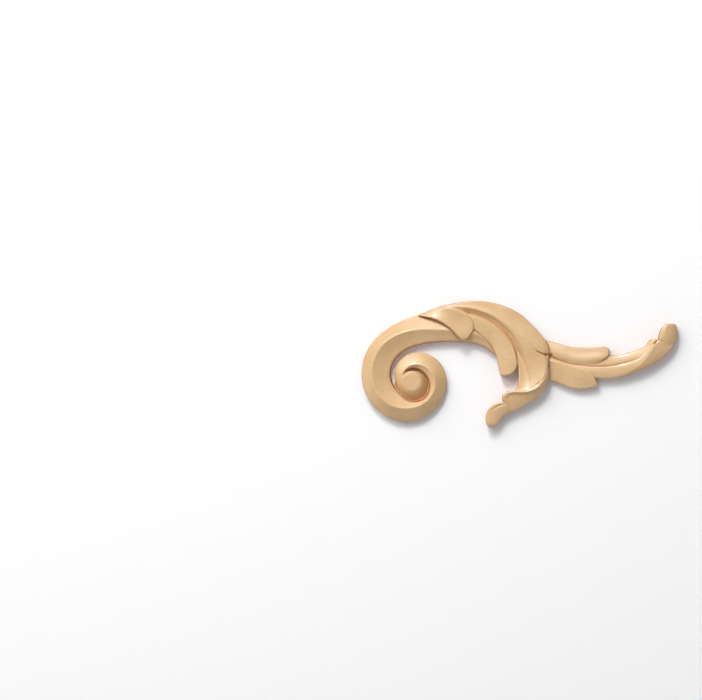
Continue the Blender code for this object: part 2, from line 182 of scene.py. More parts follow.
@dataclass(frozen=True)
class Loft:
    """A carved form: sections that cross it from edge to edge, with smooth rails from one to the next.

    The surface creases along the sharp rails, counted from nought, and bends smoothly across the others.
    swells gives, for each strip between two neighbouring rails, how far it bulges at its middle in the first
    section and in the last. Every free edge is rounded over, and ease says how many passes of sanding soften
    the creases.
    """

    name: str
    sections: tuple[Section, ...]
    sharp: tuple[int, ...] = ()
    swells: tuple[tuple[float, float], ...] = ()
    ease: int = 0
    spacing: float = 0.6
    edge_run: float = 0.9
    edge_drop: float = 1.2

    def surface(self) -> np.ndarray:
        """Works out the surface as a grid of sheet points.

        Returns:
            An array of rows along the form, points across it, and x, z and height.
        """
        knots = np.array(self.sections, dtype=float)
        reach = np.linalg.norm(np.diff(knots, axis=0), axis=2).max(axis=1)
        steps = [max(2, math.ceil(length / self.spacing)) for length in reach]
        rails = np.stack([smooth_line(list(knots[:, i]), steps) for i in range(knots.shape[1])])
        widths = np.linalg.norm(np.diff(rails, axis=0), axis=2)
        cuts = [max(2, math.ceil(width / self.spacing)) for width in widths.max(axis=1)]
        mean = widths.mean(axis=1)
        creases = sorted({0, *self.sharp, len(rails) - 1})
        columns = []
        for first, last in zip(creases, creases[1:]):
            at = np.concatenate([[0.0], np.cumsum(mean[first:last])])
            shares = np.stack([at] + list(np.eye(last - first + 1)), axis=1)
            weights = smooth_line(list(shares[:, :1]), cuts[first:last], shares[:, 1:])
            columns.append(np.einsum("ck,krp->crp", weights, rails[first : last + 1])[:-1])
        columns.append(rails[-1:])
        surface = np.concatenate(columns)
        column = 0
        for (first, last), cut in zip(self.swells, cuts):
            share = np.arange(cut) / cut
            along = np.linspace(first, last, surface.shape[1])
            surface[column : column + cut, :, 2] += np.outer(4 * share * (1 - share), along)
            column += cut
        for _ in range(self.ease):
            surface[1:-1] = (surface[:-2] + 2 * surface[1:-1] + surface[2:]) / 4
        inside = np.minimum(self.distance_in(surface, 0), self.distance_in(surface, 1))
        surface[..., 2] -= self.edge_drop * np.clip(1 - inside / self.edge_run, 0, 1) ** 2
        return surface.transpose(1, 0, 2)

    def distance_in(self, surface: np.ndarray, axis: int) -> np.ndarray:
        """Measures how far each point lies in plan from the nearer of the two edges that end an axis.

        Args:
            surface: The grid of sheet points, across the form and then along it.
            axis: The grid's axis to measure along.

        Returns:
            The distances, one for each point of the grid.
        """
        lengths = np.linalg.norm(np.diff(surface[..., :2], axis=axis), axis=-1)
        start = [(0, 0), (0, 0)]
        start[axis] = (1, 0)
        run = np.cumsum(np.pad(lengths, start), axis=axis)
        return np.minimum(run, run.max(axis=axis, keepdims=True) - run)

    def body(self, pattern: Pattern, foot: float) -> bpy.types.Object:
        """Models the form as a closed body that reaches behind the back.

        Args:
            pattern: The sheet that the sections are drawn on.
            foot: How far the body reaches behind the back, in squares.

        Returns:
            The body's object.
        """
        surface = self.surface()
        rows, columns = surface.shape[:2]
        deselect_all()
        bpy.ops.mesh.primitive_grid_add(x_subdivisions=columns - 1, y_subdivisions=rows - 1, size=1.0)
        item = bpy.context.object
        item.name = self.name
        start = np.empty(len(item.data.vertices) * 3)
        item.data.vertices.foreach_get("co", start)
        start = start.reshape(-1, 3)
        order = np.lexsort((np.round(start[:, 0], GRID_DECIMALS), np.round(start[:, 1], GRID_DECIMALS)))
        places = np.empty_like(start)
        places[order] = pattern.placed(surface.reshape(-1, 3))
        item.data.vertices.foreach_set("co", places.ravel())
        behind = foot * pattern.rise()
        bpy.ops.object.mode_set(mode="EDIT")
        bpy.ops.mesh.select_all(action="SELECT")
        bpy.ops.mesh.extrude_region_move(TRANSFORM_OT_translate={"value": (0, behind, 0)})
        bpy.ops.transform.resize(value=(1, 0, 1), center_override=(0, behind, 0))
        bpy.ops.mesh.select_all(action="SELECT")
        bpy.ops.mesh.normals_make_consistent(inside=False)
        bpy.ops.object.mode_set(mode="OBJECT")
        return item


@dataclass(frozen=True)
class Volute:
    """The arm and the volute that it winds into, laid out by radii round the middle of the eye."""

    centre: PlanPoint = (52.0, 49.0)
    first_eighth: int = 2
    outer_radii: Lengths = (64.2, 55.7, 50.0, 44.3, 40.2, 35.7, 34.8, 32.3, 27.9, 21.9, 16.9, 16.6, 18.0)
    ridge_radii: Lengths = (50.6, 46.3, 39.4, 32.6, 26.2, 23.9, 22.7, 19.4, 15.8, 12.2, 10.0, 9.6, 9.4)
    inner_radii: Lengths = (33.4, 25.9, 19.8, 17.1, 19.9, 20.2, 16.4, 13.3, 12.2, 10.6, 7.0, 6.5, 6.5)
    outer_heights: Lengths = (6.0, 6.4, 7.0, 7.0, 6.6, 6.2, 5.4, 5.6, 6.0, 6.4, 6.2, 5.0, 4.0)
    ridge_heights: Lengths = (15.0, 15.6, 16.0, 16.0, 15.6, 15.0, 14.4, 13.8, 13.2, 12.8, 12.6, 12.3, 12.0)
    inner_heights: Lengths = (8.0, 8.0, 8.0, 8.5, 9.0, 9.5, 9.5, 9.5, 9.5, 11.2, 12.6, 12.6, 12.4)
    arm: tuple[Section, ...] = (
        ((140, 112, 4), (139, 80, 10.5), (136, 74.5, 7.8)),
        ((122, 122, 4), (124, 92, 12.2), (119, 84.9, 7.8)),
        ((100, 124, 4), (104, 98.4, 13.4), (100.5, 87.7, 7.8)),
        ((78, 121, 4), (80, 100.2, 14.6), (76, 87.3, 8)),
    )
    swells: tuple[tuple[float, float], ...] = ((-0.3, 0.7), (-0.5, -0.3))
    lip_run: float = 1.6
    lip_drops: Lengths = (2.4, 3.0, 3.6, 4.2, 5.0, 5.6, 5.6, 5.6, 4.0) + (3.0,) * 8
    ease: int = 9
    eye_rings: tuple[tuple[float, float, float, float], ...] = (
        (52.3, 45.2, 17.4, 3.0),
        (52.3, 45.4, 15.9, 3.6),
        (52.0, 46.8, 13.2, 7.8),
        (51.7, 48.3, 10.8, 11.6),
        (51.5, 49.0, 8.8, 13.2),
    )
    eye_sides: int = 96

    def sections(self) -> tuple[Section, ...]:
        """Works out the sections of the arm and then of the volute, each with its inner lip.

        Returns:
            The arm's sections, and one more for each eighth of a turn of the volute.
        """
        sections = list(self.arm)
        for i in range(len(self.outer_radii)):
            angle = (self.first_eighth + i) * math.pi / 4
            rails = (
                (self.outer_radii[i], self.outer_heights[i]),
                (self.ridge_radii[i], self.ridge_heights[i]),
                (self.inner_radii[i], self.inner_heights[i]),
            )
            sections.append(
                tuple(
                    (
                        self.centre[0] + radius * math.cos(angle),
                        self.centre[1] + radius * math.sin(angle),
                        height,
                    )
                    for radius, height in rails
                )
            )
        return tuple(self.with_lip(section, drop) for section, drop in zip(sections, self.lip_drops))

    def with_lip(self, section: Section, drop: float) -> Section:
        """Adds the lip to a section: its inner edge drops, and a lip stands a little way in from it.

        Args:
            section: The outer edge, the ridge and the inner edge.
            drop: How far the inner edge drops, in squares.

        Returns:
            The outer edge, the ridge, the lip and the dropped inner edge.
        """
        outer, ridge, inner = section
        share = self.lip_run / math.dist(ridge[:2], inner[:2])
        lip = tuple(edge + (top - edge) * share for edge, top in zip(inner, ridge))
        return (outer, ridge, lip, (inner[0], inner[1], inner[2] - drop))

    def lofts(self) -> list[Loft]:
        """The volute's one loft."""
        return [Loft("volute", self.sections(), (1, 2), self.swells, self.ease)]

    def eye(self, pattern: Pattern, foot: float) -> bpy.types.Object:
        """Models the eye: a disc raised ring by ring from the groove's floor.

        Args:
            pattern: The sheet that the eye is drawn on.
            foot: How far the eye's body reaches behind the back, in squares.

        Returns:
            The eye's object.
        """
        x, z, radius, _ = self.eye_rings[0]
        place = pattern.placed(np.array([(x, z, -foot)]))[0]
        deselect_all()
        bpy.ops.mesh.primitive_circle_add(
            vertices=self.eye_sides,
            radius=radius * pattern.square(),
            fill_type="NGON",
            location=place,
            rotation=(math.pi / 2, 0, 0),
        )
        item = bpy.context.object
        item.name = "eye"
        bpy.ops.object.transform_apply(location=True, rotation=True, scale=True)
        bpy.ops.object.mode_set(mode="EDIT")
        bpy.ops.mesh.select_all(action="SELECT")
        for x, z, ring_radius, height in self.eye_rings:
            target = pattern.placed(np.array([(x, z, height)]))[0]
            bpy.ops.mesh.extrude_region_move(TRANSFORM_OT_translate={"value": tuple(target - place)})
            scale = ring_radius / radius
            bpy.ops.transform.resize(value=(scale, 1, scale), center_override=tuple(target))
            place, radius = target, ring_radius
        bpy.ops.mesh.select_all(action="SELECT")
        bpy.ops.mesh.normals_make_consistent(inside=False)
        bpy.ops.object.mode_set(mode="OBJECT")
        return item


class Edge(Enum):
    """The shape that a tool leaves along its line."""

    KNIFE = "a sharp V"
    GOUGE = "a round channel"
    BEAD = "a round ridge"


@dataclass(frozen=True)
class ToolLine:
    """A carver's line on the surface: its route on the sheet, half width, depth and cutting edge.

    fade_in and fade_out are the shares of its length over which it comes to full depth and runs out.
    """

    route: tuple[PlanPoint, ...]
    half_width: float
    depth: float
    edge: Edge = Edge.KNIFE
    fade_in: float = 0.15
    fade_out: float = 0.15

    def sink(self, plan: np.ndarray) -> np.ndarray:
        """How far the line sinks the surface at each plan point.

        Args:
            plan: Rows of x and z on the sheet.

        Returns:
            The depth at each point, in squares, below zero where the line raises a bead.
        """
        line = smooth_line(list(self.route), [ROUTE_STEPS] * (len(self.route) - 1))
        low = line.min(axis=0) - self.half_width
        high = line.max(axis=0) + self.half_width
        sunk = np.zeros(len(plan))
        near = np.flatnonzero(((plan > low) & (plan < high)).all(axis=1))
        if not len(near):
            return sunk
        lengths = np.linalg.norm(np.diff(line, axis=0), axis=1)
        at = np.concatenate([[0.0], np.cumsum(lengths)]) / lengths.sum()
        best = np.full(len(near), np.inf)
        share = np.zeros(len(near))
        for i, length in enumerate(lengths):
            along = (line[i + 1] - line[i]) / length
            offset = plan[near] - line[i]
            run = np.clip(offset @ along, 0, length)
            away = np.linalg.norm(offset - run[:, None] * along, axis=1)
            closer = away < best
            best[closer] = away[closer]
            share[closer] = (at[i] + (at[i + 1] - at[i]) * run / length)[closer]
        across = np.clip(1 - best / self.half_width, 0, 1)
        if self.edge is not Edge.KNIFE:
            across = np.sin(across * math.pi / 2) ** 2
        coming = np.clip(share / max(self.fade_in, LEAST_FADE), 0, 1)
        going = np.clip((1 - share) / max(self.fade_out, LEAST_FADE), 0, 1)
        sunk[near] = self.depth * across * np.sqrt(coming * going)
        return -sunk if self.edge is Edge.BEAD else sunk


@dataclass(frozen=True)
class GreatLeaf:
    """The acanthus leaf that wraps the arm: the leaf itself, its inner lobe and its front lobe."""

    # outline, midrib, shoulder above the valley, valley, side, which runs on as the blade's left edge
    leaf: tuple[Section, ...] = (
        ((66, 118.2, 8.6), (68, 117.6, 9.8), (69.2, 117.1, 10), (71, 116.4, 10), (74, 111, 8.5)),
        ((80, 123.6, 10), (82, 121.8, 13.4), (83.4, 120.7, 13), (85, 118.9, 12), (88, 113, 10)),
        ((97, 127.3, 10), (98.5, 123.9, 15.8), (99.4, 122, 15.3), (101, 118.4, 12), (100, 113, 10.5)),
        ((118, 128.9, 9.6), (118, 120.8, 17.1), (118, 119.2, 16.6), (117.2, 115.2, 11.8), (115, 107, 11)),
        ((140, 125.4, 9.4), (137, 112.4, 17.9), (136.1, 111.2, 17.2), (133, 107, 11.6), (128, 97, 11)),
        ((161, 115, 9.4), (154, 99.6, 18), (150.6, 98.8, 17), (145.9, 95.6, 10.8), (140, 85, 11)),
        ((177, 99.5, 10), (169, 87.4, 17.2), (160.8, 85.4, 16), (155.6, 83.4, 10.4), (150.4, 75, 11.2)),
        ((188, 83, 12), (179.5, 75, 16.3), (168, 73.2, 15.2), (162.4, 71.8, 10.8), (157, 68, 12.2)),
        ((188.3, 70, 13.4), (182.5, 64, 15.9), (170.6, 61.8, 14.4), (166.4, 60.6, 11.6), (158.4, 59, 13.4)),
        ((187.2, 59, 14.8), (181.5, 54, 15.9), (172, 51, 14.7), (169, 50, 13), (158, 47.5, 14.4)),
        ((184.3, 51.3, 15.8), (177, 44, 16.3), (170.6, 41.3, 16.2), (168.5, 40.2, 15.8), (154.6, 38.2, 15.6)),
    )
    # foot in the valley, ridge, shoulder, middle, left edge
    inner_lobe: tuple[Section, ...] = (
        ((103, 118, 11), (104.5, 116.3, 14.4), (104.8, 114.6, 14.3), (105.2, 112, 13.6), (106, 109, 12)),
        ((119.5, 114, 11.6), (119, 111.8, 16), (117.8, 108.6, 15.6), (116, 104.6, 14.8), (114, 100.5, 13.6)),
        (
            (134.5, 106.4, 11.6),
            (133, 104.2, 16.3),
            (129.6, 101, 15.4),
            (125.6, 97.4, 14.6),
            (121.5, 94.3, 13.4),
        ),
        ((147, 94.8, 10.8), (145, 93.1, 15.8), (140.6, 89.8, 14.9), (135.6, 87.2, 14.1), (130.3, 85.3, 13)),
        ((154, 83.5, 10.4), (152.3, 83, 15.2), (147.4, 79.2, 14.4), (141.6, 76.2, 13.5), (135.8, 74.5, 12.6)),
        ((157, 72, 10.8), (155.8, 72, 14.8), (151, 67.8, 14), (144.8, 65.2, 13.2), (138.4, 64.5, 12.4)),
        ((157.4, 64.4, 12), (156.6, 64, 14), (154.2, 58.8, 13.4), (148.6, 55, 13), (140.4, 54.3, 12.2)),
    )
    # foot behind the crest, crest, flute, front edge
    front_lobe: tuple[Section, ...] = (
        ((61, 116.2, 8), (60, 115.6, 9.2), (59, 115, 9.8), (58, 114.3, 9.8)),
        ((73.5, 121, 9.6), (74, 119.8, 12.2), (72, 116.6, 13.4), (69.5, 112.2, 14.8)),
        ((87, 124.2, 11.8), (87.5, 121.8, 16), (84, 115.6, 15.4), (80, 108.3, 16.5)),
        ((101.5, 120.6, 12.6), (100.5, 118.2, 17.2), (95, 109.8, 15.2), (90, 101.6, 17)),
        ((111.8, 113.4, 12), (109.6, 111.4, 16.6), (102.5, 101.6, 15.2), (97.6, 93.8, 16.7)),
        ((115, 104, 11), (113.2, 104.4, 15.6), (106.2, 95.4, 15.2), (101.2, 90.3, 16)),
        ((112.8, 96, 10.5), (111.2, 97, 14.8), (107.6, 91.8, 14.6), (103.4, 89.6, 14.6)),
    )
    leaf_swells: tuple[tuple[float, float], ...] = ((1.4, 1.0), (0.0, 0.0), (0.0, 0.0), (-0.4, -0.4))
    leaf_ease: int = 5
    lobe_ease: int = 2
    front_cut: ToolLine = ToolLine(
        ((57, 114), (69, 111.2), (79.2, 107.2), (89.2, 100.6), (96.6, 93), (100.8, 88.6)), 0.9, 0.8
    )
    rib_groove: ToolLine = ToolLine(
        ((106, 120.4), (118, 117.6), (134.4, 109.2), (148.6, 97.4), (158.6, 84.6), (164.8, 73.6)),
        1.8,
        0.6,
        Edge.GOUGE,
        0.3,
        0.3,
    )

    def lofts(self) -> list[Loft]:
        """Lists the leaf, its inner lobe and its front lobe.

        Returns:
            The lofts.
        """
        return [
            Loft("leaf", self.leaf, (1, 3), self.leaf_swells, self.leaf_ease),
            Loft("inner_lobe", self.inner_lobe, (1,), ease=self.lobe_ease),
            Loft("front_lobe", self.front_lobe, (1,), ease=self.lobe_ease),
        ]

    def lines(self) -> list[ToolLine]:
        """The cut under the front lobe and the groove that sets off the midrib."""
        return [self.front_cut, self.rib_groove]


@dataclass(frozen=True)
class Blade:
    """The blade's turned-over edge below the leaf, and the tip below that."""

    # foot inside the lip, lip, hollow under it, underside, outline
    turnover: tuple[Section, ...] = (
        ((185.5, 66.5, 13.4), (187.3, 66, 13.6), (187.8, 65, 13), (188.3, 63.5, 11.5), (188.8, 62, 10)),
        ((184, 58.8, 14.7), (186.6, 58, 15.1), (187.6, 57, 13.6), (188.4, 55.5, 11.8), (189.2, 54, 10)),
        ((180.6, 52.4, 14.8), (183.6, 49.9, 16.3), (184.9, 48.2, 13.8), (185.4, 47.2, 12), (186.6, 45.5, 10)),
        ((174, 45.8, 14.4), (176.1, 42.2, 16.9), (177.1, 40.4, 14.2), (178.4, 38.2, 12.2), (180.6, 35.6, 10)),
        ((164.4, 42, 14.4), (165.2, 38.2, 17), (166, 36, 14.2), (168, 32.4, 12.2), (170.8, 28.4, 9.8)),
        ((154.2, 39.6, 14.6), (154, 38, 16.4), (154.4, 35.4, 14), (156, 29, 12.2), (158.2, 21.4, 9.4)),
        ((146.2, 38, 12.8), (147, 36.6, 15.2), (148, 34, 13.8), (149, 27.4, 12.2), (150.4, 18.2, 9.4)),
        (
            (141.9, 33.8, 12.6),
            (143.4, 33, 14.8),
            (145.6, 31.2, 13.6),
            (147.2, 25.8, 12.2),
            (147.6, 17.2, 9.4),
        ),
        ((143.1, 27.8, 12), (144.2, 27.8, 13.8), (145.6, 27, 13.2), (146.4, 23.4, 12), (146.2, 17.6, 9.4)),
    )
    # rim, hollow, middle, outline
    tip: tuple[Section, ...] = (
        ((153, 25.6, 8), (153, 24.4, 8), (153, 22, 7.6), (153, 19.6, 6)),
        ((145.6, 27, 13.2), (146, 25, 12.8), (147, 21.4, 12), (149, 17.4, 9.4)),
        ((139, 27.7, 14.4), (140, 25.2, 13.8), (141.6, 20.6, 12.4), (144, 14.6, 9.6)),
        ((132.4, 25.2, 14.6), (134.2, 22.8, 13.8), (137, 18.2, 12.8), (141.2, 12.2, 10)),
        ((127.6, 19.4, 14), (130, 17.8, 13.6), (133.8, 14.4, 12.8), (139.4, 9.4, 10.2)),
        ((125.5, 12, 13.4), (127.8, 11.4, 13.2), (132, 9.2, 12.6), (137.8, 6.6, 10.4)),
        ((126.8, 5.6, 12.8), (128.6, 5.6, 12.8), (131.4, 5, 12.2), (135.2, 4.6, 10.6)),
        ((128.6, 3.6, 12), (129.7, 3.5, 12), (131.1, 3.4, 11.6), (132.8, 3.6, 11)),
    )
    lip_line: ToolLine = ToolLine(((186.0, 59.0), (184.0, 53.0), (179.6, 48.0), (173.0, 44.0)), 1.0, 0.7)
    bump_groove: ToolLine = ToolLine(
        ((161, 36), (154, 35.2), (149.4, 33.4), (147.2, 30.8)), 1.5, 0.4, Edge.GOUGE, 0.3, 0.4
    )
    tip_groove: ToolLine = ToolLine(
        ((146, 25.2), (140.4, 24.8), (135.2, 22.6), (131.6, 19)), 1.5, 0.6, Edge.GOUGE, 0.3, 0.5
    )

    def lofts(self) -> list[Loft]:
        """Lists the turned-over edge and the tip.

        Returns:
            The lofts.
        """
        return [
            Loft("turnover", self.turnover, (1,)),
            Loft("blade_tip", self.tip, (1,)),
        ]

    def lines(self) -> list[ToolLine]:
        """The fine lines inside the lip and the two rims below it."""
        return [self.lip_line, self.bump_groove, self.tip_groove]


@dataclass(frozen=True)
class Tail:
    """The long leaf tail: its blade, its turned-over side, its curled tip, and its upper and lower lobes."""

    # top edge, crown, vein
    blade_top: tuple[Section, ...] = (
        ((184, 80, 5.5), (185, 77, 6), (186, 74, 6)),
        ((206, 78, 7.6), (205, 72, 8.6), (204, 68.2, 9)),
        ((228, 76, 8.2), (226, 70, 9.2), (224, 65.1, 9.6)),
        ((247, 74, 8.4), (246.5, 69, 9.4), (246, 64.3, 9.8)),
        ((263.5, 76, 8.8), (263, 71.4, 10), (262, 66, 10.4)),
        ((278, 81, 10), (277.6, 76.6, 11.2), (276.6, 71, 11.7)),
        ((287, 86.4, 11.6), (286.3, 82.4, 12.6), (285, 77, 13)),
        ((291.8, 91.4, 13), (291.5, 88.4, 13.5), (291, 84, 13.8)),
        ((295.4, 90.8, 13.5), (295.2, 89.2, 13.8), (295, 87, 13.9)),
    )
    # crest below the vein, shoulder, lower edge
    blade_foot: tuple[Section, ...] = (
        ((187, 72, 6.8), (188, 66, 7), (188, 58, 5.6)),
        ((204.6, 66.6, 9.4), (206, 62, 9.8), (208, 54.5, 8.2)),
        ((225, 63, 10.1), (226, 58.6, 10.4), (228, 52.6, 8.8)),
        ((246, 62.2, 10.2), (246, 57, 10.4), (246, 51.3, 8.9)),
        ((261.6, 64, 10.8), (261, 58.4, 10.9), (260, 53, 9.4)),
        ((276, 69.2, 12.1), (274.2, 63.6, 12.2), (272.4, 59.4, 11.6)),
        ((284.4, 75.6, 13.2), (283, 71, 13.3), (281.8, 66.8, 13.3)),
        ((290.8, 82.6, 14), (290.5, 79, 14.2), (290.3, 76.4, 14.2)),
        ((294.9, 86, 14), (294.7, 84.8, 14.2), (294.6, 83.4, 14.2)),
    )
    # foot inside the crease, crease, shoulder, side, outline
    turnover: tuple[Section, ...] = (
        ((253, 52.6, 6.2), (254, 52.3, 6.6), (254.6, 52.2, 6.4), (255.2, 52.1, 6.2), (255.8, 52, 6)),
        ((262.2, 55.2, 8.4), (263.6, 54.6, 9), (264.4, 54.4, 8.8), (265.2, 54.2, 8.4), (266, 54.1, 7.8)),
        ((271.4, 62.2, 10.8), (273, 60.6, 11.5), (274, 60, 11.3), (275.2, 59.4, 10.8), (276.4, 58.6, 9.6)),
        ((278.2, 67.8, 12.5), (280, 66, 13), (281.8, 65.2, 12.5), (284.6, 64.2, 11.4), (287.4, 63.2, 9.8)),
        ((284, 73.6, 13.2), (286, 72, 13.8), (288.6, 71.2, 13), (293, 70.2, 11.6), (298, 69.2, 9.6)),
        ((289, 81.2, 13.8), (291, 80, 14.3), (294, 79, 13.4), (299.4, 77.2, 11.9), (306, 75.8, 9.6)),
        ((292.2, 86.8, 13.7), (294.2, 85.6, 14.4), (297.2, 85, 13.6), (302.6, 83, 12.2), (311, 81.6, 9.6)),
        ((295, 91.4, 12.6), (296.7, 90, 14), (299.6, 89.2, 13.4), (304.6, 88, 12.4), (314, 87.2, 9.8)),
    )
    # rim, ridge, middle, outline
    tip: tuple[Section, ...] = (
        ((297, 87, 10.4), (301, 84.6, 10.6), (305.4, 81.6, 9.8), (309.6, 80.4, 7.6)),
        ((297.8, 92.4, 13.4), (303, 91, 14.4), (308, 89, 12.9), (314.8, 88.6, 9.4)),
        ((299.2, 97.6, 14.2), (303.8, 96.6, 15.4), (309, 95, 13.8), (316.3, 94.6, 9.8)),
        ((301.6, 102.4, 14.2), (304.8, 101.4, 15.4), (310, 100, 13.8), (316.5, 100.6, 10)),
        ((304.2, 105.2, 13.8), (306.6, 104.6, 14.8), (310.8, 103.8, 13.6), (315.9, 104.1, 10.6)),
        ((306.8, 106, 13), (308.6, 106.2, 13.4), (311.8, 106.2, 12.8), (314.9, 105.6, 11.4)),
    )
    # outline, crown, shoulder, foot in the vein
    upper_lobe: tuple[Section, ...] = (
        ((183, 90.6, 6.4), (184, 83, 7.4), (186, 76.5, 7.4), (187, 73, 6)),
        ((197, 86.8, 7.6), (198, 80, 9.2), (199.5, 73.2, 9.7), (200, 70.2, 8.6)),
        ((213, 83, 8.9), (214, 77, 9.8), (214, 70.4, 10.7), (214, 66.6, 9.2)),
        ((229, 82.5, 9.3), (229.5, 76.4, 10.2), (229, 69.8, 11.2), (228, 65.8, 9.6)),
        ((239, 83, 9.5), (239.5, 77, 10.4), (238, 70.4, 11.4), (236.5, 66.8, 9.9)),
        ((245.6, 83, 9.6), (246, 77.5, 10.4), (243.5, 71.2, 11), (241.5, 69.2, 10)),
        ((248.7, 81.2, 9.2), (249, 78, 10.2), (248.2, 74.6, 10.4), (246.8, 73.2, 9.8)),
    )
    # foot above the ridge, ridge, middle, outline
    lower_lobe: tuple[Section, ...] = (
        ((186, 73, 5.2), (186, 71.6, 7.6), (186, 62, 7.4), (187, 51, 5.4)),
        ((198, 69.8, 8.2), (199, 67.8, 10.4), (199, 58.6, 9.6), (199.5, 46.6, 7.2)),
        ((211, 65.8, 9.2), (211, 64, 11.4), (211.5, 54, 10.2), (212, 41.8, 7.6)),
        ((223.5, 61.4, 9.6), (222.5, 60.2, 11.9), (223.5, 51, 10.4), (224, 41.2, 7.8)),
        ((232, 57.2, 9.4), (230.6, 56.2, 11.6), (231.6, 49.8, 10.4), (233.5, 43.2, 8.2)),
        ((235, 54, 8.6), (233.8, 53.6, 10.8), (235.4, 49.2, 10.2), (238.2, 45, 8.6)),
    )
    ease: int = 2
    vein: ToolLine = ToolLine(
        (
            (190.0, 73.4),
            (200.0, 69.5),
            (210.0, 66.5),
            (220.0, 65.0),
            (240.0, 63.6),
            (250.0, 64.2),
            (260.0, 66.0),
            (270.0, 68.7),
            (281.0, 72.8),
        ),
        1.2,
        0.9,
        Edge.KNIFE,
        fade_in=0.02,
        fade_out=0.25,
    )
    dark_cut: ToolLine = ToolLine(
        ((174.8, 79.8), (179, 77.4), (183, 75.9), (187, 74.6)), 1.1, 2.2, fade_in=0.5
    )
    dark_wedge: ToolLine = ToolLine(
        ((184, 75.4), (187, 74.8), (190, 74.4), (192.5, 74)), 2.8, 2.2, Edge.GOUGE
    )
    tip_slit: ToolLine = ToolLine(
        ((298.6, 91), (296.8, 89.4), (294.9, 87.4), (293.2, 85.4)), 1.2, 2.2, fade_in=0.5
    )
    tip_line: ToolLine = ToolLine(((297.0, 90.4), (300.0, 89.6), (303.0, 88.0)), 0.9, 0.6)

    def lofts(self) -> list[Loft]:
        """Lists the tail's blade, its turned-over side, its tip and its two lobes.

        Returns:
            The lofts.
        """
        blade = tuple(top + foot for top, foot in zip(self.blade_top, self.blade_foot))
        return [
            Loft("tail", blade, (2,), ease=self.ease),
            Loft("tail_turnover", self.turnover, (1,)),
            Loft("tail_tip", self.tip, (1,), ease=self.ease),
            Loft("upper_lobe", self.upper_lobe, ease=self.ease),
            Loft("lower_lobe", self.lower_lobe, (1,), ease=self.ease),
        ]

    def lines(self) -> list[ToolLine]:
        """The vein, the dark cut where leaf, blade and tail part, and the tip's slit and fine line."""
        return [self.vein, self.dark_cut, self.dark_wedge, self.tip_slit, self.tip_line]


def add_node(tree: bpy.types.NodeTree, kind: str, settings: dict, links: dict) -> bpy.types.Node:
    """Adds a shader node.

    Args:
        tree: The tree that the node goes into.
        kind: The node's type name.
        settings: Values by input name or index, and properties by a name that starts with a dot.
        links: Output sockets by the input name or index that they feed.

    Returns:
        The new node.
    """
    node = tree.nodes.new(kind)
    for name, value in settings.items():
        if isinstance(name, str) and name.startswith("."):
            setattr(node, name[1:], value)
        else:
            node.inputs[name].default_value = value
    for name, source in links.items():
        tree.links.new(source, node.inputs[name])
    return node


